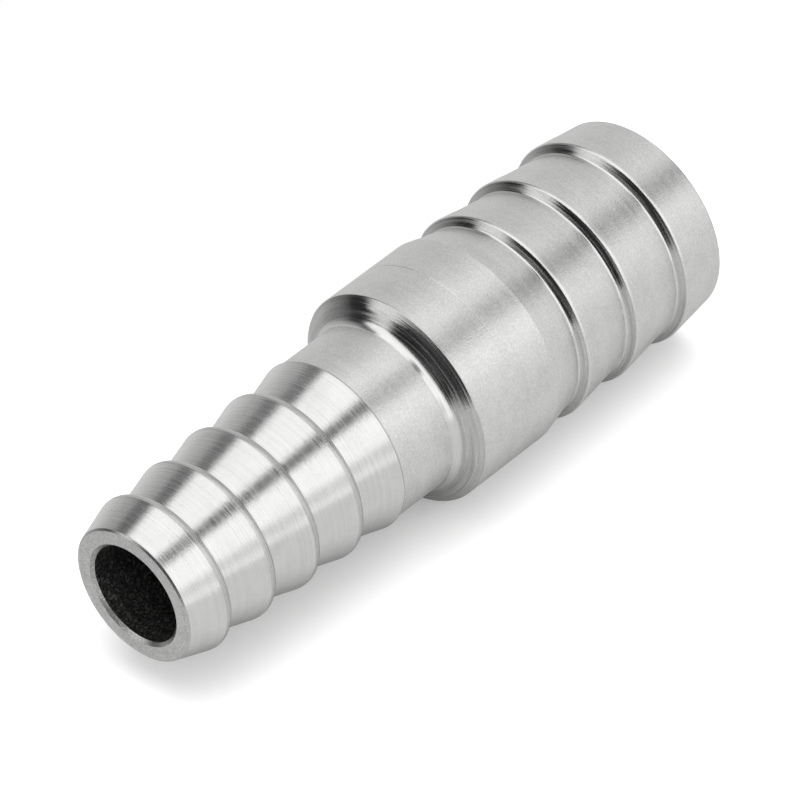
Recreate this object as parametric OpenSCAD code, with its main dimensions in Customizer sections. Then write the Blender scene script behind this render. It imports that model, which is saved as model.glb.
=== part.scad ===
// Hose barb reducer, turned from one bar: it joins a hose on its small tail to a wider hose on its large tail.
// It stands on the end face of the large tail, with its axis on Z and the small tail at the top.

/* [Large hose tail] */
// Diameter over the crests of the large tail
large_crest_d = 17.7; // [17:0.05:18.5]
// Diameter at the foot of each step on the large tail
large_root_d = 16.35; // [15.8:0.05:16.6]
// Diameter of the large tail at its end face
large_end_d = 16.75; // [16:0.05:17]
// Length from the end face to the lower edge of the collar
large_tail_l = 19.45; // [19:0.05:24]
// Height of the first crest above the end face
large_end_l = 4.05; // [3.5:0.05:4.5]
// Distance from the first crest to the second
large_pitch_1 = 5.85; // [5:0.05:6]
// Distance from the second crest to the third
large_pitch_2 = 5.45; // [5:0.05:5.6]
// Slope of the face of each step, measured from the axis
large_face_angle = 60; // [52:1:66]
// Rounding of the crests
large_crest_round = 0.65; // [0.4:0.05:0.7]
// Fillet at the foot of each step
large_root_fillet = 0.5; // [0.2:0.05:0.55]
// Rounding of the outer edge of the end face
large_end_round = 0.15; // [0.1:0.05:0.9]

/* [Collar] */
// Diameter of the collar
collar_d = 17.9; // [17.5:0.05:19]
// Length from the collar's lower edge to the outer edge of its shoulder
collar_l = 8.15; // [6:0.05:12]
// Slope of the shoulder's face, measured from the axis
shoulder_angle = 62; // [55:1:75]
// Rounding of the shoulder's outer edge
shoulder_round = 0.1; // [0.05:0.01:0.2]
// Fillet between the shoulder's face and the neck
shoulder_fillet = 0.8; // [0.3:0.05:0.85]
// Height of the fine turned line above the collar's lower edge
line_h = 3.85; // [2:0.05:4.5]
// Width of the fine turned line
line_w = 0.12; // [0.08:0.01:0.2]
// Depth of the fine turned line
line_deep = 0.02; // [0.01:0.01:0.08]

/* [Neck] */
// Diameter of the neck
neck_d = 14.22; // [14:0.02:14.3]
// Length from the shoulder's outer edge to the first crest of the small tail
neck_l = 7.03; // [4:0.01:10]

/* [Small hose tail] */
// Number of barbs on the small tail
small_barbs = 5; // [3:1:6]
// Distance between crests
small_pitch = 4.53; // [4:0.01:5]
// Diameter over the crest next to the end face
small_crest_d = 13.2; // [13:0.05:13.4]
// Growth of the crest diameter from one barb to the next
small_growth = 0.335; // [0.3:0.005:0.36]
// Depth of each barb, from its crest down to the foot of its cone
small_barb_depth = 1.1; // [0.95:0.01:1.2]
// Length from the crest next to the end face to the end face
small_end_l = 3.15; // [2.5:0.05:4]
// Diameter of the small tail at its end face
small_end_d = 11.25; // [10.8:0.05:11.6]
// Rounding of the crests
small_crest_round = 0.65; // [0.3:0.05:0.65]
// Fillet at the foot of each step
small_root_fillet = 0.15; // [0.05:0.01:0.15]
// Edge break round the small end face
small_edge_break = 0.13; // [0.05:0.01:0.3]

/* [Bores] */
// Diameter of the bore in the small tail
small_bore_d = 8.2; // [6:0.05:8.6]
// Width of the countersink at the small bore's mouth
small_mouth = 0.27; // [0.1:0.01:0.4]
// Diameter of the bore in the large tail
large_bore_d = 12; // [10:0.05:13]
// Depth of the large bore's straight wall
large_bore_l = 24; // [16:0.5:26]
// Width of the countersink at the large bore's mouth
large_mouth = 0.4; // [0.1:0.01:0.6]
// Point angle of the drill that ends the large bore
drill_point = 118; // [90:1:140]

/* [Hidden] */
$fn = 128;
// How far a cutting shape runs past the face that it cuts
past = 1;
// How far the sliver of a rounded corner runs past the corner, so that it overlaps what it joins or cuts
sliver_past = 0.1;
// Angle at which the circle of a rounding crosses its two edges, so that it meets them cleanly
rounding_lead = 4;
// Share of a step's height that the rounding of its crest takes up at most
round_share = 0.85;

// Heights of the shoulder's outer edge, of the small tail's lowest crest and of the small end face
shoulder_z = large_tail_l + collar_l;
neck_end_z = shoulder_z + neck_l;
top_z = neck_end_z + (small_barbs - 1) * small_pitch + small_end_l;
// Height where the point of the large drill runs out into the small bore
drill_end_z = large_bore_l + (large_bore_d - small_bore_d) / 2 / tan(drill_point / 2);

// Crests of the large tail, counted from its end face
large_crests = [large_end_l, large_end_l + large_pitch_1, large_end_l + large_pitch_1 + large_pitch_2];
function large_centre(k) = [large_crest_d / 2 - large_crest_round, large_crests[k]];

// Crests of the small tail, counted from the neck: each barb steps back to the neck or to the cone before it
function small_radius(k) = small_crest_d / 2 + (small_barbs - 1 - k) * small_growth / 2;
function small_foot_r(k) = k == 0 ? neck_r : small_radius(k - 1) - small_barb_depth;
// The first barb stands so little above the neck that its rounding shrinks to what the step can hold
function small_round(k) = min(small_crest_round, round_share * (small_radius(k) - small_foot_r(k)));
function small_centre(k) = [small_radius(k) - small_round(k), neck_end_z + k * small_pitch];

// Angles of normals are measured from straight outward, and grow towards the small end
large_end = [large_end_d / 2, 0];
small_end = [small_end_d / 2, top_z];
function toward(angle) = [cos(angle), sin(angle)];
function unit(v) = v / norm(v);
// Normal where a line from a point touches a circle; side is 1 for a point above the circle and -1 for one below
function touch(point, centre, rounding, side) =
    let (to = point - centre)
    atan2(to[1], to[0]) - side * acos(rounding / norm(to));
// Corner where the tangents at two normals of a circle meet
function corner(centre, rounding, low, high) =
    centre + rounding / cos((high - low) / 2) * toward((low + high) / 2);

// A barb of the large tail widens on a cone to its crest, then steps in on a slanted face to its foot
function large_crest(k) =
    let (below = k == 0 ? large_end : large_foot(k - 1))
    corner(large_centre(k), large_crest_round,
           touch(below, large_centre(k), large_crest_round, -1), large_face_angle);
function large_foot(k) =
    let (crest = large_crest(k), foot_r = large_root_d / 2)
    [foot_r, crest[1] + (crest[0] - foot_r) / tan(large_face_angle)];

// A barb of the small tail steps out on a square face to its crest, then narrows on a cone to the next foot
function small_foot(k) =
    k == small_barbs ? small_end : [small_foot_r(k), small_centre(k)[1] - small_round(k)];
function small_crest(k) =
    corner(small_centre(k), small_round(k), -90, touch(small_foot(k + 1), small_centre(k), small_round(k), 1));

// Foot of the shoulder's slanted face at the neck
collar_r = collar_d / 2;
neck_r = neck_d / 2;
shoulder_foot = [neck_r, shoulder_z + (collar_r - neck_r) / tan(shoulder_angle)];

// Outline of the body from the large end face to the small one: each corner with its rounding, 0 where it is sharp
line_z = large_tail_l + line_h;
last_crest = small_crest(small_barbs - 1);
outline = concat(
    [[[0, 0], 0], [large_end, large_end_round]],
    [for (k = [0 : len(large_crests) - 1], foot = [0 : 1])
        foot == 1 ? [large_foot(k), large_root_fillet] : [large_crest(k), large_crest_round]],
    [[[collar_r, large_tail_l], 0]],
    [[[collar_r, line_z - line_w / 2], 0], [[collar_r - line_deep, line_z], 0], [[collar_r, line_z + line_w / 2], 0]],
    [[[collar_r, shoulder_z], shoulder_round], [shoulder_foot, shoulder_fillet]],
    [for (k = [0 : small_barbs - 1], crest = [0 : 1])
        crest == 1 ? [small_crest(k), small_round(k)] : [small_foot(k), k == 0 ? 0 : small_root_fillet]],
    [[small_end + small_edge_break * unit(last_crest - small_end), 0]],
    [[small_end - [small_edge_break, 0], 0], [[0, top_z], 0]]
);

// The sliver between a corner and its rounding; the corners before and after it give the two edges.
// The circle crosses both edges at the lead angle, and the sliver's other two corners lie inside it.
module sliver(before, here, after, rounding) {
    back = unit(before - here);
    ahead = unit(after - here);
    inward = unit(back + ahead);
    half = acos(back * ahead) / 2;
    centre_off = rounding * cos(rounding_lead);
    reach = centre_off / tan(half);
    difference() {
        polygon([here - sliver_past * inward, here + reach * back, here + reach * ahead]);
        translate(here + centre_off / sin(half) * inward)
            circle(rounding);
    }
}

// The slivers of all corners that turn one way: turn is 1 for outer corners and -1 for inner ones
module slivers(corners, turn) {
    for (k = [1 : len(corners) - 2]) {
        before = corners[k - 1][0];
        here = corners[k][0];
        after = corners[k + 1][0];
        if (corners[k][1] > 0 && sign(cross(here - before, after - here)) == turn)
            sliver(before, here, after, corners[k][1]);
    }
}

module profile() {
    difference() {
        union() {
            polygon([for (c = outline) c[0]]);
            slivers(outline, -1);
        }
        slivers(outline, 1);
    }
}

module bores() {
    translate([0, 0, -past])
        cylinder(d = large_bore_d, h = large_bore_l + past);
    translate([0, 0, large_bore_l])
        cylinder(d1 = large_bore_d, d2 = small_bore_d, h = drill_end_z - large_bore_l);
    translate([0, 0, large_bore_l])
        cylinder(d = small_bore_d, h = top_z - large_bore_l + past);
}

// Countersinks of the two mouths, each as wide as it is deep
module mouths() {
    translate([0, 0, -past])
        cylinder(d1 = large_bore_d + 2 * (large_mouth + past), d2 = large_bore_d, h = large_mouth + past);
    translate([0, 0, top_z - small_mouth])
        cylinder(d1 = small_bore_d, d2 = small_bore_d + 2 * (small_mouth + past), h = small_mouth + past);
}

module reducer_body() {
    color("lightgray")
        difference() {
            rotate_extrude()
                profile();
            bores();
            mouths();
        }
}

reducer_body();
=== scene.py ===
"""Dresses the hose barb reducer: a finely turned body with its finishes, and the studio that it lies in."""
from math import acos, atan2, cos, pi, radians, sin, tan

import bpy
from bpy.props import FloatProperty, FloatVectorProperty, IntProperty, PointerProperty
from mathutils import Matrix, Vector


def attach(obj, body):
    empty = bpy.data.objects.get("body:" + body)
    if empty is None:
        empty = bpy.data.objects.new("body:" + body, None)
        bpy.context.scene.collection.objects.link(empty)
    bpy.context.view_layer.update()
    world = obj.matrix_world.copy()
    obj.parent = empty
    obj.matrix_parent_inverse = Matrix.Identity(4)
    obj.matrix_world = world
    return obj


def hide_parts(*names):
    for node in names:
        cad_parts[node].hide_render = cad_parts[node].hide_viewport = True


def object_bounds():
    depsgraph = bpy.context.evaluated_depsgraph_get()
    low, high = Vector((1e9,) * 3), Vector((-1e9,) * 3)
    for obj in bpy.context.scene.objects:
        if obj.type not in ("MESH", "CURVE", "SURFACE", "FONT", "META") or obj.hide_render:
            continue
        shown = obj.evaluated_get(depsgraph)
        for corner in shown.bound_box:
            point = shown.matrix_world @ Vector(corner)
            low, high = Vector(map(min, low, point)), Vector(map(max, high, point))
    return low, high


bl_info = {
    "name": "Hose barb reducer",
    "version": (1, 0, 0),
    "blender": (4, 5, 0),
    "location": "3D View > Sidebar > Reducer",
    "description": "Builds a turned hose barb reducer and its studio",
    "category": "Add Mesh",
}

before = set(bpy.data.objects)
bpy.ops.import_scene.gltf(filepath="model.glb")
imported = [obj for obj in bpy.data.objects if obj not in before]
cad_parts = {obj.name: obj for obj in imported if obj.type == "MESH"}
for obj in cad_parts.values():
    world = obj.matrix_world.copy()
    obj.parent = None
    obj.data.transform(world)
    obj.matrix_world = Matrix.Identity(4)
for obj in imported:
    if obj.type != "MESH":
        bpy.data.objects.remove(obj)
CAD_BOX = [list(corner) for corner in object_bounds()]
NODE = "reducer_body"
BODY = "root"
WHITE = (1, 1, 1, 1)

# Share of a step's height that the rounding of a small crest takes up at most
ROUND_SHARE = 0.85

# Millimetres in a metre, for noise whose size is given in mm
MM = 1000
# How far the distance from the axis shifts the ring marks, so that slanted faces carry them too
RING_LEAN = 0.37
# How fast the ring marks change round the part, per metre
RING_CHANGES = 60
# Broad streaks change faster round the part than the ring marks do, and slower along the axis
STREAK_STRETCH = (2.2, 2.2, 0.45)
# Scale of the large soft clouds, per metre
CLOUD_SCALE = 550.0
# Stretches of the noises that are spread over the full range of the mottle, of the specks, and of the streaks
# and clouds
MOTTLE_FROM, MOTTLE_TO = 0.32, 0.68
SPECKS_FROM, SPECKS_TO = 0.54, 0.74
NOISE_FROM, NOISE_TO = 0.3, 0.7
# Depths of the ring marks and of the grain in the normals, in metres, at full strength
RING_DEEP = 0.00002
GRAIN_DEEP = 0.00004
# Brightness of the lightest streaks, and of the darkest and the lightest clouds
STREAK_LIGHT = 1.04
CLOUD_DARK, CLOUD_LIGHT = 0.94, 1.03
# The grain's tops are lighter by this share of what its hollows are darker
TOP_SHARE = 1 / 3
# Turns from the tangent, which runs round the part, to the way that reflections are drawn out in
ACROSS_RINGS = 0.25
# Distance between nodes in the node editor
NODE_GAP = 180


def length(name, description, default):
    """A length in metres that a user may change."""
    return FloatProperty(name=name, description=description, default=default, min=0, precision=5,
                         unit="LENGTH")


def share(name, description, default):
    """A plain number from 0 to 1."""
    return FloatProperty(name=name, description=description, default=default, min=0, max=1, subtype="FACTOR")


def angle(name, description, default):
    """An angle, kept in radians and given in degrees."""
    return FloatProperty(name=name, description=description, default=radians(default), subtype="ANGLE")


def grey(name, description, default):
    """A colour that is the same in red, green and blue, or nearly so."""
    value = default if isinstance(default, tuple) else (default, default, default)
    return FloatVectorProperty(name=name, description=description, default=value, min=0, max=1,
                               subtype="COLOR")


class BodySizes(bpy.types.PropertyGroup):
    """Sizes of the turned body."""

    large_crest_r: length("Large crest radius", "Radius over the crests of the large tail", 0.00885)
    large_root_r: length("Large root radius", "Radius at the foot of each step on the large tail", 0.008175)
    large_end_r: length("Large end radius", "Radius of the large tail at its end face", 0.008375)
    large_tail_l: length("Large tail length", "From the end face to the collar's lower edge", 0.01945)
    large_end_l: length("First crest height", "From the end face to the first crest", 0.00405)
    large_pitch_1: length("First pitch", "From the first crest to the second", 0.00585)
    large_pitch_2: length("Second pitch", "From the second crest to the third", 0.00545)
    large_face: angle("Step slope", "Slope of the face of each step, from the axis", 54)
    large_round: length("Large crest circle", "Circle that the two slopes at a large crest touch", 0.00065)
    large_edge: length("Large crest edge", "Rounding of the edge where those two slopes meet", 0.00025)
    large_fillet: length("Large root fillet", "Fillet at the foot of each step", 0.0002)
    large_end_round: length("End rounding", "Rounding of the large end face's outer edge", 0.00015)
    collar_r: length("Collar radius", "Radius of the collar", 0.00895)
    collar_l: length("Collar length", "From the collar's lower edge to its shoulder's outer edge", 0.00815)
    brow_slope: angle("Brow slope", "Slope of the outer part of the shoulder's face, from the axis", 52)
    brow_w: length("Brow width", "Width of the outer part of the shoulder's face", 0.00065)
    brow_bend: length("Brow bend", "Rounding between the two parts of the shoulder's face", 0.0018)
    shelf_slope: angle("Shelf slope", "Slope of the inner part of the shoulder's face, from the axis", 60)
    shoulder_round: length("Shoulder rounding", "Rounding of the shoulder's outer edge", 0.00012)
    shoulder_fillet: length("Shoulder fillet", "Fillet between the shoulder's face and the neck", 0.0008)
    line_h: length("Line height", "Height of the fine turned line above the collar's lower edge", 0.00385)
    line_w: length("Line width", "Width of the fine turned line", 0.00012)
    line_deep: length("Line depth", "Depth of the fine turned line", 0.00002)
    neck_r: length("Neck radius", "Radius of the neck", 0.00711)
    neck_l: length("Neck length", "From the shoulder's outer edge to the small tail's first crest", 0.00703)
    small_barbs: IntProperty(name="Small barbs", description="Barbs on the small tail", default=5, min=1)
    small_pitch: length("Small pitch", "Distance between the small tail's crests", 0.00453)
    small_crest_r: length("Small crest radius", "Radius over the crest next to the small end face", 0.0066)
    small_growth: length("Small growth", "Growth of the crest radius from one barb to the next", 0.0001675)
    small_deep: length("Small barb depth", "From a crest down to the foot of its cone", 0.0011)
    small_end_l: length("Small end length", "From the last crest to the small end face", 0.00315)
    small_end_r: length("Small end radius", "Radius of the small tail at its end face", 0.005625)
    small_round: length("Small crest rounding", "Rounding of the small tail's crests", 0.00065)
    small_fillet: length("Small root fillet", "Fillet at the foot of each step of the small tail", 0.00015)
    small_edge: length("Edge break", "Edge break round the small end face", 0.00013)
    small_bore_r: length("Small bore radius", "Radius of the bore in the small tail", 0.0041)
    small_mouth: length("Small countersink", "Width of the countersink at the small bore's mouth", 0.00027)
    large_bore_r: length("Large bore radius", "Radius of the bore in the large tail", 0.006)
    large_bore_l: length("Large bore depth", "Depth of the large bore's straight wall", 0.024)
    large_mouth: length("Large countersink", "Width of the countersink at the large bore's mouth", 0.0004)
    drill_point: angle("Drill point", "Point angle of the drill that ends the large bore", 118)
    facets: IntProperty(name="Facets", description="Facets round the body", default=192, min=24)
    arc_steps: IntProperty(name="Arc steps", description="Steps along each rounding", default=8, min=2)


class FinishLooks(bpy.types.PropertyGroup):
    """Colours and finishes of the steel. The darker steels of the steps, small crests, end faces,
    countersinks and bore carry painted shade.
    """

    steel: grey("Steel", "Colour of the turned steel", (0.78, 0.78, 0.77))
    # Painted shade: the step steel is a darker copy of the steel, standing in for the shade on the steps and
    # shoulder
    bright_steel_painted_shade: grey("Step steel", "Colour of the form-turned steps and shoulder", (0.68, 0.68, 0.67))
    # Painted shade: the small crests' steel is a darker copy of the steel, standing in for the shade they
    # reflect
    rim_steel_painted_shade: grey("Rim steel", "Colour of the small tail's rounded crests", (0.66, 0.66, 0.65))
    # Painted shade: the end faces' steel is a darker copy of the steel, standing in for the shade they
    # reflect
    face_steel_painted_shade: grey("Face steel", "Colour of the end faces", (0.7, 0.7, 0.69))
    # Painted shade: the countersinks' steel is darker than the steel, standing in for the shade at the bore's
    # mouths
    mouth_steel_painted_shade: grey("Mouth steel", "Colour of the countersinks", (0.55, 0.55, 0.54))
    # Painted shade: the bore's steel is coloured nearly black to stand in for the shade inside the bore
    bore_steel_painted_shade: grey("Bore steel", "Colour of the bore wall, darkened as painted shade", (0.16, 0.155, 0.15))
    cone_rough: share("Cone roughness", "Roughness of the finely turned cones and of the root fillets", 0.18)
    satin_rough: share("Satin roughness", "Roughness of the collar, the neck and the large cones", 0.36)
    crest_rough: share("Crest roughness", "Roughness of the small crests and the large crests' edges", 0.28)
    bright_rough: share("Bright roughness", "Roughness of the form-turned steps and shoulder", 0.19)
    face_rough: share("Face roughness", "Roughness of the end faces", 0.42)
    mouth_rough: share("Mouth roughness", "Roughness of the countersinks", 0.3)
    bore_rough: share("Bore roughness", "Roughness of the dull wall of the bore", 0.5)


class StudioLooks(bpy.types.PropertyGroup):
    """Camera, ground and light."""

    camera_azimuth: angle("Camera azimuth", "Turn of the camera round the part, from -Y", 9.3)
    camera_elevation: angle("Camera elevation", "Angle at which the camera looks down on the part", 32.8)
    camera_roll: angle("Camera roll", "Roll of the camera about its view", 127)
    camera_aim: FloatVectorProperty(name="Camera aim", description="Point that the camera looks at",
                                    default=(-0.0003024, -0.0000495, 0.0273652), precision=5,
                                    subtype="TRANSLATION")
    camera_far: length("Camera distance", "Distance from the camera to the point it looks at", 0.52226)
    camera_clip: length("Camera clip", "Nearest distance that the camera shows", 0.01)
    lens: FloatProperty(name="Lens", description="Focal length in millimetres", default=315, unit="CAMERA")
    ground_azimuth: angle("Ground azimuth", "Direction that the ground faces, from -Y", 45)
    ground_front: length("Ground front", "Reach of the ground towards the camera", 0.35)
    ground_back: length("Ground back", "Reach of the ground behind the part", 0.0175)
    ground_top: length("Ground top", "Reach of the ground past the small end", 0.03)
    ground_foot: length("Ground foot", "Reach of the ground past the large end", 0.3)
    ground_grey: grey("Ground", "Colour of the ground", 0.9)
    ground_glow: share("Ground glow", "White added to the ground for the camera", 0.17)
    # Painted shade in reflections: the part's reflections show the ground at only this share of its colour
    ground_mirrored: share("Ground mirrored", "Share of the ground's brightness that reflections show", 0.55)
    glow_mirrored: share("Glow mirrored", "Share of the added white that reflections show", 0.2)
    key_azimuth: angle("Key azimuth", "Direction of the key light, from -Y", 45)
    key_lift: angle("Key height", "Height of the key light over the horizon", 0)
    key_soft: angle("Key softness", "Angle that the key light fills", 60)
    key_power: FloatProperty(name="Key power", description="Strength of the key light", default=1.7, min=0)


def toward(turn):
    """The direction at an angle from straight outward, in the plane of the profile."""
    return Vector((cos(turn), sin(turn)))


def touch(point, centre, rounding, side):
    """Normal where a line from a point touches a circle; side is 1 for a point above it, and else -1."""
    to = point - centre
    return atan2(to.y, to.x) - side * acos(rounding / to.length)


def tangent_corner(centre, rounding, low, high):
    """Where the tangents at two normals of a circle meet."""
    return centre + toward((low + high) / 2) * rounding / cos((high - low) / 2)


def large_tail(size):
    """Corners of the large tail from its end face up.

    Each corner has its point, its rounding, the finish of the rounding and the finish after it.
    """
    end = Vector((size.large_end_r, 0))
    rows = [(end, size.large_end_round, "bright", "satin")]
    below = end
    height = 0
    for rise in (size.large_end_l, size.large_pitch_1, size.large_pitch_2):
        height += rise
        centre = Vector((size.large_crest_r - size.large_round, height))
        low = touch(below, centre, size.large_round, -1)
        crest = tangent_corner(centre, size.large_round, low, size.large_face)
        foot_z = crest.y + (crest.x - size.large_root_r) / tan(size.large_face)
        below = Vector((size.large_root_r, foot_z))
        rows.append((crest, size.large_edge, "crest", "bright"))
        rows.append((below, size.large_fillet, "cone", "satin"))
    return rows


def collar_and_neck(size):
    """Corners of the collar, its fine line, its shoulder and the neck."""
    line_z = size.large_tail_l + size.line_h
    shoulder_z = size.large_tail_l + size.collar_l
    brow = Vector((size.collar_r - size.brow_w, shoulder_z + size.brow_w / tan(size.brow_slope)))
    foot_z = brow.y + (brow.x - size.neck_r) / tan(size.shelf_slope)
    half = size.line_w / 2
    return [
        (Vector((size.collar_r, size.large_tail_l)), 0, None, "satin"),
        (Vector((size.collar_r, line_z - half)), 0, None, "satin"),
        (Vector((size.collar_r - size.line_deep, line_z)), 0, None, "satin"),
        (Vector((size.collar_r, line_z + half)), 0, None, "satin"),
        (Vector((size.collar_r, shoulder_z)), size.shoulder_round, "bright", "bright"),
        (brow, size.brow_bend, "bright", "bright"),
        (Vector((size.neck_r, foot_z)), size.shoulder_fillet, "cone", "satin"),
    ]


def neck_end_z(size):
    """Height of the small tail's lowest crest."""
    return size.large_tail_l + size.collar_l + size.neck_l


def top_z(size):
    """Height of the small end face."""
    return neck_end_z(size) + (size.small_barbs - 1) * size.small_pitch + size.small_end_l


def small_tail(size):
    """Corners of the small tail from the neck up to the small end face."""
    last = size.small_barbs - 1
    end = Vector((size.small_end_r, top_z(size)))

    def radius(k):
        return size.small_crest_r + (last - k) * size.small_growth

    def foot_r(k):
        return size.neck_r if k == 0 else radius(k - 1) - size.small_deep

    def rounding(k):
        return min(size.small_round, ROUND_SHARE * (radius(k) - foot_r(k)))

    def centre(k):
        return Vector((radius(k) - rounding(k), neck_end_z(size) + k * size.small_pitch))

    def foot(k):
        return end if k > last else Vector((foot_r(k), centre(k).y - rounding(k)))

    rows = []
    for k in range(size.small_barbs):
        high = touch(foot(k + 1), centre(k), rounding(k), 1)
        crest = tangent_corner(centre(k), rounding(k), -pi / 2, high)
        rows.append((foot(k), 0 if k == 0 else size.small_fillet, "bright", "bright"))
        rows.append((crest, rounding(k), "rim", "cone"))
    back = (crest - end).normalized()
    rows.append((end + back * size.small_edge, 0, None, "rim"))
    rows.append((end - Vector((size.small_edge, 0)), 0, None, "face"))
    return rows


def bore(size):
    """Corners of the bore from the small mouth down to the large one."""
    top = top_z(size)
    drill_end = size.large_bore_l + (size.large_bore_r - size.small_bore_r) / tan(size.drill_point / 2)
    return [
        (Vector((size.small_bore_r + size.small_mouth, top)), 0, None, "mouth"),
        (Vector((size.small_bore_r, top - size.small_mouth)), 0, None, "bore"),
        (Vector((size.small_bore_r, drill_end)), 0, None, "bore"),
        (Vector((size.large_bore_r, size.large_bore_l)), 0, None, "bore"),
        (Vector((size.large_bore_r, size.large_mouth)), 0, None, "mouth"),
        (Vector((size.large_bore_r + size.large_mouth, 0)), 0, None, "face"),
    ]


def outward(start, end):
    """Normal of a straight stretch of the profile, which runs with the solid on its left."""
    along = (end - start).normalized()
    return Vector((along.y, -along.x))


def rounded_corner(before, here, after, rounding, steps):
    """Points and normals along the true arc that rounds a corner between the corners before and after it."""
    back = (before - here).normalized()
    ahead = (after - here).normalized()
    half = acos(back.dot(ahead)) / 2
    reach = rounding / tan(half)
    if reach > min((before - here).length, (after - here).length):
        raise ValueError(f"A rounding of {rounding * MM:.3f} mm is too large for its corner")
    inward = (back + ahead).normalized()
    centre = here + inward * rounding / sin(half)
    first = here + back * reach - centre
    final = here + ahead * reach - centre
    start_turn = atan2(first.y, first.x)
    sweep = (atan2(final.y, final.x) - start_turn + pi) % (2 * pi) - pi
    sign = 1 if sweep > 0 else -1
    turns = [start_turn + sweep * i / steps for i in range(steps + 1)]
    return [centre + toward(t) * rounding for t in turns], [toward(t) * sign for t in turns]


def rounded_profile(rows, steps):
    """The closed profile as stretches (start, start normal, end, end normal, finish)."""
    count = len(rows)
    ends = []
    for k, (here, rounding, finish, after_finish) in enumerate(rows):
        points, normals = [here], []
        if rounding:
            points, normals = rounded_corner(rows[k - 1][0], here, rows[(k + 1) % count][0], rounding, steps)
        ends.append((points, normals, finish, after_finish))
    stretches = []
    for k, (points, normals, finish, after_finish) in enumerate(ends):
        for i in range(len(points) - 1):
            stretches.append((points[i], normals[i], points[i + 1], normals[i + 1], finish))
        following = ends[(k + 1) % count][0][0]
        normal = outward(points[-1], following)
        stretches.append((points[-1], normal, following, normal, after_finish))
    return stretches


def lathe(name, stretches, facets, finishes):
    """Turns a closed profile round Z into a mesh with the profile's own normals."""
    count = len(stretches)
    turns = [2 * pi * k / facets for k in range(facets)]
    circle = [(cos(t), sin(t)) for t in turns]
    vertices = [(start.x * c, start.x * s, start.y) for c, s in circle for start, *_ in stretches]
    faces = []
    normals = []
    slots = []
    order = list(finishes)
    for k in range(facets):
        ahead = (k + 1) % facets
        for i, (_, first, _, second, finish) in enumerate(stretches):
            j = (i + 1) % count
            faces.append((k * count + i, ahead * count + i, ahead * count + j, k * count + j))
            for turn, normal in ((k, first), (ahead, first), (ahead, second), (k, second)):
                c, s = circle[turn]
                normals.append((normal.x * c, normal.x * s, normal.y))
            slots.append(order.index(finish))
    mesh = bpy.data.meshes.new(name)
    mesh.from_pydata(vertices, [], faces)
    mesh.polygons.foreach_set("use_smooth", [True] * len(faces))
    mesh.polygons.foreach_set("material_index", slots)
    for material in finishes.values():
        mesh.materials.append(material)
    mesh.normals_split_custom_set(normals)
    mesh.update()
    piece = bpy.data.objects.new(name, mesh)
    bpy.context.scene.collection.objects.link(piece)
    return piece


class Tree:
    """Adds nodes to a node tree and joins their sockets."""

    def __init__(self, tree):
        self.tree = tree
        self.column = 0

    def add(self, kind, values=None, **settings):
        """A node with its settings, and with a value or another node's output on each named input."""
        node = self.tree.nodes.new(kind)
        self.column += 1
        node.location = (self.column * NODE_GAP, 0)
        for key, value in settings.items():
            setattr(node, key, value)
        for key, value in (values or {}).items():
            if isinstance(value, bpy.types.NodeSocket):
                self.join(value, node.inputs[key])
            else:
                node.inputs[key].default_value = value
        return node

    def join(self, output, socket):
        self.tree.links.new(output, socket)

    def math(self, operation, *values, clamp=False):
        node = self.add("ShaderNodeMath", dict(enumerate(values)), operation=operation, use_clamp=clamp)
        return node.outputs[0]

    def dot(self, first, second):
        node = self.add("ShaderNodeVectorMath", {0: first, 1: second}, operation="DOT_PRODUCT")
        return node.outputs["Value"]

    def spread(self, value, start, finish, low=0, high=1, **settings):
        """A value's stretch from start to finish, spread over low to high."""
        values = {0: value, 1: start, 2: finish, 3: low, 4: high}
        return self.add("ShaderNodeMapRange", values, **settings).outputs[0]

    def mix(self, second_share, first, second):
        """A colour between two, by the share of the second."""
        return self.add("ShaderNodeMix", {0: second_share, 6: first, 7: second}, data_type="RGBA").outputs[2]


def cleared(owner):
    """The node tree of a material or of the world, emptied."""
    owner.use_nodes = True
    owner.node_tree.nodes.clear()
    return Tree(owner.node_tree)


def new_group(name, size_input, default, outputs):
    """An empty shader node group; returns its tree, its size input and its output node."""
    group = bpy.data.node_groups.new(name, "ShaderNodeTree")
    socket = group.interface.new_socket(size_input, in_out="INPUT", socket_type="NodeSocketFloat")
    socket.default_value = default
    for label in outputs:
        group.interface.new_socket(label, in_out="OUTPUT", socket_type="NodeSocketFloat")
    tree = Tree(group)
    given = tree.add("NodeGroupInput").outputs[size_input]
    leave = group.nodes.new("NodeGroupOutput")
    return tree, given, leave


def turning_marks_group():
    """Marks that a lathe tool leaves: fine rings that change slowly round the part, and broad streaks."""
    tree, pitch, leave = new_group("turning marks", "Pitch mm", 0.1, ("Height", "Streaks"))
    place = tree.add("ShaderNodeTexCoord").outputs["Object"]
    x, y, z = tree.add("ShaderNodeSeparateXYZ", {0: place}).outputs
    reach = tree.math("SQRT", tree.math("ADD", tree.math("MULTIPLY", x, x), tree.math("MULTIPLY", y, y)))
    shifted = tree.math("SUBTRACT", z, tree.math("MULTIPLY", reach, RING_LEAN))
    along = tree.math("DIVIDE", tree.math("MULTIPLY", shifted, MM), pitch)
    where = tree.add("ShaderNodeCombineXYZ", {0: tree.math("MULTIPLY", x, RING_CHANGES),
                                              1: tree.math("MULTIPLY", y, RING_CHANGES), 2: along}).outputs[0]
    rings = tree.add("ShaderNodeTexNoise", {"Vector": where, "Scale": 1.0, "Detail": 2.0, "Roughness": 0.6},
                     noise_dimensions="4D")
    tree.join(rings.outputs[0], leave.inputs["Height"])
    broad = tree.add("ShaderNodeVectorMath", {0: where, 1: STREAK_STRETCH}, operation="MULTIPLY").outputs[0]
    streaks = tree.add("ShaderNodeTexNoise", {"Vector": broad, "Scale": 1.0, "Detail": 3.0},
                       noise_dimensions="4D")
    tree.join(streaks.outputs[0], leave.inputs["Streaks"])
    return tree.tree


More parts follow.
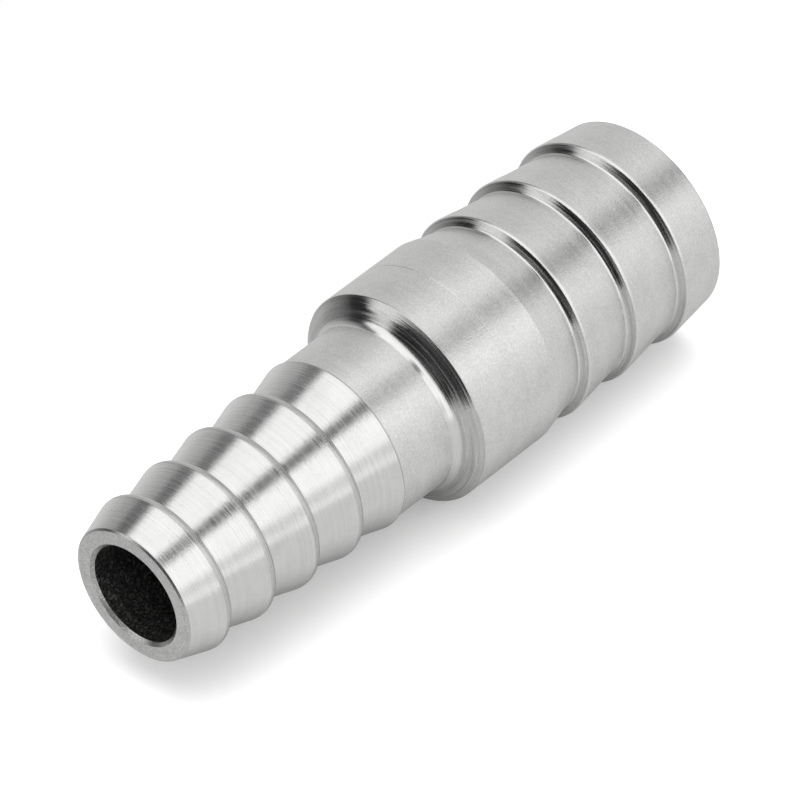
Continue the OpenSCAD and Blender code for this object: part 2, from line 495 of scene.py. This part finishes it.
def grain_group():
    """Fine grain, the same in all directions: its height, mottle and brightest specks, and soft clouds."""
    tree, grain, leave = new_group("fine grain", "Grain mm", 0.08, ("Height", "Mottle", "Specks", "Clouds"))
    place = tree.add("ShaderNodeTexCoord").outputs["Object"]
    scale = tree.math("DIVIDE", MM, grain)
    noise = tree.add("ShaderNodeTexNoise", {"Vector": place, "Scale": scale, "Detail": 2.0}).outputs[0]
    clouds = tree.add("ShaderNodeTexNoise", {"Vector": place, "Scale": CLOUD_SCALE, "Detail": 3.0,
                                             "Roughness": 0.6}).outputs[0]
    tree.join(noise, leave.inputs["Height"])
    tree.join(tree.spread(noise, MOTTLE_FROM, MOTTLE_TO), leave.inputs["Mottle"])
    tree.join(tree.spread(noise, SPECKS_FROM, SPECKS_TO), leave.inputs["Specks"])
    tree.join(clouds, leave.inputs["Clouds"])
    return tree.tree


def steel_finish(groups, name, steel, roughness, anisotropy, marks, streak, grain, mottle, specks,
                 uneven=0.15):
    """A turned steel: ring marks and grain in its normal, with changes of colour and roughness along them.

    marks is the pitch in mm and the strength of the ring marks, and streak the share by which the darkest
    streaks are darker. grain is the size in mm and the strength of the grain, mottle the share by which the
    grain's hollows are darker, and specks the grey of its bright specks. uneven is the share by which the
    roughness changes along the streaks.
    """
    material = bpy.data.materials.new(name)
    tree = cleared(material)
    pitch, ring_strength = marks
    grain_size, grain_strength = grain
    rings = tree.add("ShaderNodeGroup", node_tree=groups["marks"])
    rings.inputs["Pitch mm"].default_value = pitch
    dust = tree.add("ShaderNodeGroup", node_tree=groups["grain"])
    dust.inputs["Grain mm"].default_value = grain_size
    bump = tree.add("ShaderNodeBump", {"Height": rings.outputs["Height"], "Strength": ring_strength,
                                       "Distance": RING_DEEP}).outputs[0]
    bump = tree.add("ShaderNodeBump", {"Height": dust.outputs["Height"], "Strength": grain_strength,
                                       "Distance": GRAIN_DEEP, "Normal": bump}).outputs[0]
    dark = tuple((1 - streak) * v for v in steel) + (1,)
    light = tuple(min(1, STREAK_LIGHT * v) for v in steel) + (1,)
    streaks = tree.spread(rings.outputs["Streaks"], NOISE_FROM, NOISE_TO)
    tint = tree.mix(streaks, dark, light)
    mottled = tree.spread(dust.outputs["Mottle"], 0, 1, 1 - mottle, 1 + TOP_SHARE * mottle)
    cloudy = tree.spread(dust.outputs["Clouds"], NOISE_FROM, NOISE_TO, CLOUD_DARK, CLOUD_LIGHT)
    shade = tree.math("MULTIPLY", mottled, cloudy)
    tint = tree.add("ShaderNodeVectorMath", {0: tint, "Scale": shade}, operation="SCALE").outputs[0]
    tint = tree.mix(dust.outputs["Specks"], tint, (specks, specks, specks, 1))
    rough = tree.spread(streaks, 0, 1, roughness * (1 - uneven), roughness * (1 + uneven))
    shader = tree.add("ShaderNodeBsdfPrincipled", {"Base Color": tint, "Roughness": rough, "Metallic": 1.0,
                                                   "Anisotropic": anisotropy, "Normal": bump})
    if anisotropy:
        tangent = tree.add("ShaderNodeTangent", direction_type="RADIAL", axis="Z").outputs[0]
        tree.join(tangent, shader.inputs["Tangent"])
        shader.inputs["Anisotropic Rotation"].default_value = ACROSS_RINGS
    tree.add("ShaderNodeOutputMaterial", {"Surface": shader.outputs[0]})
    return material


def body_finishes(looks):
    """The steel of each zone of the body, by the name that the profile's corners give it."""
    groups = {"marks": turning_marks_group(), "grain": grain_group()}
    steel = tuple(looks.steel)
    rim_steel_painted_shade = tuple(looks.rim_steel_painted_shade)
    bright_steel_painted_shade = tuple(looks.bright_steel_painted_shade)
    face_steel_painted_shade = tuple(looks.face_steel_painted_shade)
    mouth_steel_painted_shade = tuple(looks.mouth_steel_painted_shade)
    bore_steel_painted_shade = tuple(looks.bore_steel_painted_shade)
    return {
        "cone": steel_finish(groups, "fine turned steel", steel, looks.cone_rough, anisotropy=0.75,
                             marks=(0.06, 0.6), streak=0.08, grain=(0.06, 0.04), mottle=0.05, specks=0.8),
        # The small crests are rougher, as dulled edges are; their darker colour is painted shade
        "rim": steel_finish(groups, "dulled rim steel with painted shade", rim_steel_painted_shade, looks.crest_rough, anisotropy=0.3,
                            marks=(0.08, 0.5), streak=0.2, grain=(0.1, 0.25), mottle=0.1, specks=0.7),
        "satin": steel_finish(groups, "satin steel", steel, looks.satin_rough, anisotropy=0.5,
                              marks=(0.12, 0.08), streak=0.04, grain=(0.15, 0.55), mottle=0.1, specks=0.82),
        "crest": steel_finish(groups, "crest steel", steel, looks.crest_rough, anisotropy=0.2,
                              marks=(0.12, 0.3), streak=0.05, grain=(0.1, 0.25), mottle=0.05, specks=0.8),
        # Painted shade: the steps' darker colour stands in for their shade; their streaks and uneven
        # roughness are tool marks
        "bright": steel_finish(groups, "bright turned steel with painted shade", bright_steel_painted_shade, looks.bright_rough,
                               anisotropy=0.4, marks=(0.09, 0.6), streak=0.35, grain=(0.08, 0.06),
                               mottle=0.1, specks=0.7, uneven=0.75),
        # Painted shade: the end faces' darker colour stands in for the shaded ground that they reflect
        "face": steel_finish(groups, "faced steel with painted shade", face_steel_painted_shade, looks.face_rough, anisotropy=0.3,
                             marks=(0.08, 0.2), streak=0.12, grain=(0.16, 0.5), mottle=0.18, specks=0.74),
        # Painted shade: the countersinks' darker colour stands in for the shade at the mouths of the bore
        "mouth": steel_finish(groups, "mouth steel", mouth_steel_painted_shade, looks.mouth_rough, anisotropy=0.2,
                              marks=(0.08, 0.4), streak=0.3, grain=(0.12, 0.4), mottle=0.2, specks=0.8),
        # Painted shade: the bore's dark colour stands in for the shade inside it; its roughness, grain and
        # specks are its own
        "bore": steel_finish(groups, "bore steel with painted shade", bore_steel_painted_shade, looks.bore_rough, anisotropy=0,
                             marks=(0.12, 0.3), streak=0.2, grain=(0.2, 0.8), mottle=0.6, specks=0.4),
    }


class REDUCER_OT_body(bpy.types.Operator):
    """Turns the reducer's body and gives each zone its finish"""

    bl_idname = "reducer.body"
    bl_label = "Turn body"

    def execute(self, context):
        size = context.scene.reducer_body
        finishes = body_finishes(context.scene.reducer_finish)
        rows = large_tail(size) + collar_and_neck(size) + small_tail(size) + bore(size)
        stretches = rounded_profile(rows, size.arc_steps)
        piece = lathe("turned_body", stretches, size.facets, finishes)
        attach(piece, BODY)
        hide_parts(NODE)
        return {"FINISHED"}


# Light round the part at four heights, as (turn about the axis in degrees, grey). The turn counts from the
# upper edge of the part's outline in the camera's view, through straight to the camera at 90.
HIGH_LIGHT = [
    (-180, 0.5), (-57, 0.55), (-37, 0.4), (-30, 0.32), (-16, 0.2), (-6, 0.05),
    (15, 0.03), (23, 1.18), (180, 1.18),
]
SIDE_LIGHT = [
    (-180, 0.45), (-62, 0.62), (-45, 0.5), (-25, 0.38), (-9, 0.29), (-6, 0.12),
    (12, 0.12), (18, 1.2), (67, 1.2), (70, 0.11), (83, 0.11), (86, 1.24),
    (121, 1.24), (124, 0.78), (134, 0.78), (138, 1.0), (180, 1.0),
]
LOW_LIGHT = [
    (-180, 0.5), (-60, 0.74), (-12, 0.68), (26, 0.64), (38, 0.98), (46, 1.08),
    (60, 1.1), (71, 0.7), (77, 0.36), (83, 0.38), (88, 1.2), (106, 1.24),
    (116, 1.12), (128, 0.92), (180, 0.88),
]
UNDER_LIGHT = [
    (-180, 0.6), (-60, 0.74), (-10, 0.66), (36, 0.62), (46, 0.8), (54, 0.9),
    (61, 0.84), (66, 0.08), (84, 0.05), (92, 0.68), (102, 0.84), (114, 0.92),
    (124, 0.84), (180, 0.75),
]
# Grey of the light from below
FOOT_GREY = 0.74
# Heights over the horizon, in degrees, between which one of these gives way to the next
HIGH_FROM, HIGH_TO = 8, 14
LOW_FROM, LOW_TO = -6, -26
UNDER_FROM, UNDER_TO = -36, -50
FOOT_FROM, FOOT_TO = -66, -74
# The dark opening overhead, in degrees: its middle as turn and height, the radius of its fully dark part and
# the width of its soft rim
CAP_TURN, CAP_LIFT, CAP_RADIUS, CAP_RIM = 78, 83, 30, 3
CAP_GREY = 0.03


def opaque(value):
    """A grey as the colour of a node."""
    return (value, value, value, 1)


def grey_ramp(tree, turn, stops):
    """A colour ramp over the full turn, with a stop at each listed angle."""
    ramp = tree.add("ShaderNodeValToRGB", {0: turn})
    elements = ramp.color_ramp.elements
    # A new ramp has two stops of its own, which the first two take over
    own = len(elements)
    for k, (at, value) in enumerate(stops):
        place = (at + 180) / 360
        element = elements[k] if k < own else elements.new(place)
        element.position = place
        element.color = opaque(value)
    return ramp.outputs[0]


def give_way(tree, lift, start, finish, first, second):
    """One light that gives way to another between two heights."""
    second_share = tree.spread(lift, radians(start), radians(finish), interpolation_type="SMOOTHSTEP")
    return tree.mix(second_share, first, second)


def build_world(looks):
    """Soft boxes and the dark gaps between them as bands of light round the part; white for the camera."""
    world = bpy.data.worlds.new("studio")
    tree = cleared(world)
    base = looks.camera_azimuth
    top = (cos(base), sin(base), 0)
    near = (sin(base), -cos(base), 0)
    direction = tree.add("ShaderNodeTexCoord").outputs["Generated"]
    around = tree.math("ARCTAN2", tree.dot(direction, near), tree.dot(direction, top))
    lift = tree.math("ARCSINE", tree.add("ShaderNodeSeparateXYZ", {0: direction}).outputs[2])
    turn = tree.spread(around, -pi, pi)
    # The bands of the high light lean over, the more the higher they are
    leaning = tree.math("ADD", around, tree.math("MAXIMUM", lift, 0))
    lean_turn = tree.spread(leaning, -pi, pi)
    light = grey_ramp(tree, turn, SIDE_LIGHT)
    light = give_way(tree, lift, LOW_FROM, LOW_TO, light, grey_ramp(tree, turn, LOW_LIGHT))
    light = give_way(tree, lift, UNDER_FROM, UNDER_TO, light, grey_ramp(tree, turn, UNDER_LIGHT))
    light = give_way(tree, lift, FOOT_FROM, FOOT_TO, light, opaque(FOOT_GREY))
    light = give_way(tree, lift, HIGH_FROM, HIGH_TO, light, grey_ramp(tree, lean_turn, HIGH_LIGHT))
    cap_turn, cap_lift = radians(CAP_TURN), radians(CAP_LIFT)
    cap = [cos(cap_lift) * (cos(cap_turn) * t + sin(cap_turn) * n) for t, n in zip(top, near)]
    cap[2] = sin(cap_lift)
    toward_cap = tree.dot(direction, cap)
    cap_share = tree.spread(toward_cap, cos(radians(CAP_RADIUS + CAP_RIM)), cos(radians(CAP_RADIUS)))
    light = tree.mix(cap_share, light, opaque(CAP_GREY))
    seen = tree.add("ShaderNodeLightPath").outputs["Is Camera Ray"]
    background = tree.add("ShaderNodeBackground", {"Color": tree.mix(seen, light, WHITE)})
    tree.add("ShaderNodeOutputWorld", {"Surface": background.outputs[0]})
    bpy.context.scene.world = world


def frame_height():
    """Height of the part in the shared frame."""
    return CAD_BOX[1][2]


def ground_material(looks):
    """A pale ground that keeps the part's shadow, is white elsewhere and is clear from behind. Reflections
    show it dimmer than the camera does, as painted shade.
    """
    material = bpy.data.materials.new("pale ground")
    tree = cleared(material)
    path = tree.add("ShaderNodeLightPath").outputs
    mirrored = tree.math("ADD", path["Is Glossy Ray"], path["Is Transmission Ray"], clamp=True)
    pale = tuple(looks.ground_grey)
    # Painted shade: for reflections the ground's colour is dimmed, darker than it shows to the camera
    dimmed = tuple(looks.ground_mirrored * v for v in pale)
    colour = tree.mix(mirrored, pale + (1,), dimmed + (1,))
    matt = tree.add("ShaderNodeBsdfDiffuse", {"Color": colour}).outputs[0]
    shown = tree.math("MULTIPLY_ADD", mirrored, looks.glow_mirrored, path["Is Camera Ray"])
    strength = tree.math("MULTIPLY", shown, looks.ground_glow)
    glow = tree.add("ShaderNodeEmission", {"Color": WHITE, "Strength": strength}).outputs[0]
    front = tree.add("ShaderNodeAddShader", {0: matt, 1: glow}).outputs[0]
    clear = tree.add("ShaderNodeBsdfTransparent").outputs[0]
    behind = tree.add("ShaderNodeNewGeometry").outputs["Backfacing"]
    both = tree.add("ShaderNodeMixShader", {0: behind, 1: front, 2: clear}).outputs[0]
    tree.add("ShaderNodeOutputMaterial", {"Surface": both})
    return material


def direction_to(azimuth, lift):
    """The direction at an azimuth from -Y and at a height over the horizon."""
    return Vector((sin(azimuth) * cos(lift), -cos(azimuth) * cos(lift), sin(lift)))


class REDUCER_OT_studio(bpy.types.Operator):
    """Lays the ground along the part's side, and sets the light and the camera"""

    bl_idname = "reducer.studio"
    bl_label = "Set studio"

    def execute(self, context):
        looks = context.scene.reducer_studio
        if looks.camera_far < frame_height():
            raise ValueError("The camera stands too near to the part")
        self.lay_ground(context, looks)
        build_world(looks)
        self.add_key(context, looks)
        self.set_camera(context, looks)
        context.scene.view_settings.view_transform = "Standard"
        return {"FINISHED"}

    def lay_ground(self, context, looks):
        """The ground touches the collar's side and runs along the axis, as if the part lay on it."""
        facing = direction_to(looks.ground_azimuth, 0)
        across = Vector((0, 0, 1)).cross(facing)
        at = facing * -context.scene.reducer_body.collar_r
        low, high = -looks.ground_foot, looks.ground_top + frame_height()
        corners = [
            at - across * looks.ground_front + Vector((0, 0, low)),
            at + across * looks.ground_back + Vector((0, 0, low)),
            at + across * looks.ground_back + Vector((0, 0, high)),
            at - across * looks.ground_front + Vector((0, 0, high)),
        ]
        mesh = bpy.data.meshes.new("ground")
        mesh.from_pydata(corners, [], [(0, 1, 2, 3)])
        mesh.materials.append(ground_material(looks))
        ground = bpy.data.objects.new("ground", mesh)
        context.scene.collection.objects.link(ground)

    def add_key(self, context, looks):
        """A soft key light straight at the ground, which lays the part's shadow there without highlights."""
        data = bpy.data.lights.new("key", "SUN")
        data.energy = looks.key_power
        data.angle = looks.key_soft
        key = bpy.data.objects.new("key", data)
        back = direction_to(looks.key_azimuth, looks.key_lift)
        key.rotation_euler = back.to_track_quat("Z", "Y").to_euler()
        key.visible_glossy = False
        context.scene.collection.objects.link(key)

    def set_camera(self, context, looks):
        """Puts the camera where the photograph was taken from."""
        data = bpy.data.cameras.new("camera")
        data.lens = looks.lens
        data.clip_start = looks.camera_clip
        camera = bpy.data.objects.new("camera", data)
        back = direction_to(looks.camera_azimuth, looks.camera_elevation)
        turn = back.to_track_quat("Z", "Y").to_matrix() @ Matrix.Rotation(-looks.camera_roll, 3, "Z")
        place = Vector(looks.camera_aim) + back * looks.camera_far
        camera.matrix_world = Matrix.Translation(place) @ turn.to_4x4()
        context.scene.collection.objects.link(camera)
        context.scene.camera = camera


class REDUCER_PT_panel(bpy.types.Panel):
    """Lists the reducer's operators and their values"""

    bl_label = "Hose barb reducer"
    bl_space_type = "VIEW_3D"
    bl_region_type = "UI"
    bl_category = "Reducer"

    def draw(self, context):
        for operator, groups in PANEL_ROWS.items():
            self.layout.operator(operator)
            for group in groups:
                values = getattr(context.scene, group)
                for name in values.bl_rna.properties.keys():
                    if name not in ("rna_type", "name"):
                        self.layout.prop(values, name)


CLASSES = (BodySizes, FinishLooks, StudioLooks, REDUCER_OT_body, REDUCER_OT_studio, REDUCER_PT_panel)
GROUPS = {"reducer_body": BodySizes, "reducer_finish": FinishLooks, "reducer_studio": StudioLooks}
PANEL_ROWS = {"reducer.body": ("reducer_body", "reducer_finish"), "reducer.studio": ("reducer_studio",)}


def register():
    for item in CLASSES:
        bpy.utils.register_class(item)
    for name, group in GROUPS.items():
        setattr(bpy.types.Scene, name, PointerProperty(type=group))


def unregister():
    for name in GROUPS:
        delattr(bpy.types.Scene, name)
    for item in reversed(CLASSES):
        bpy.utils.unregister_class(item)


def main():
    register()
    bpy.ops.reducer.body()
    bpy.ops.reducer.studio()


if __name__ == "__main__":
    main()
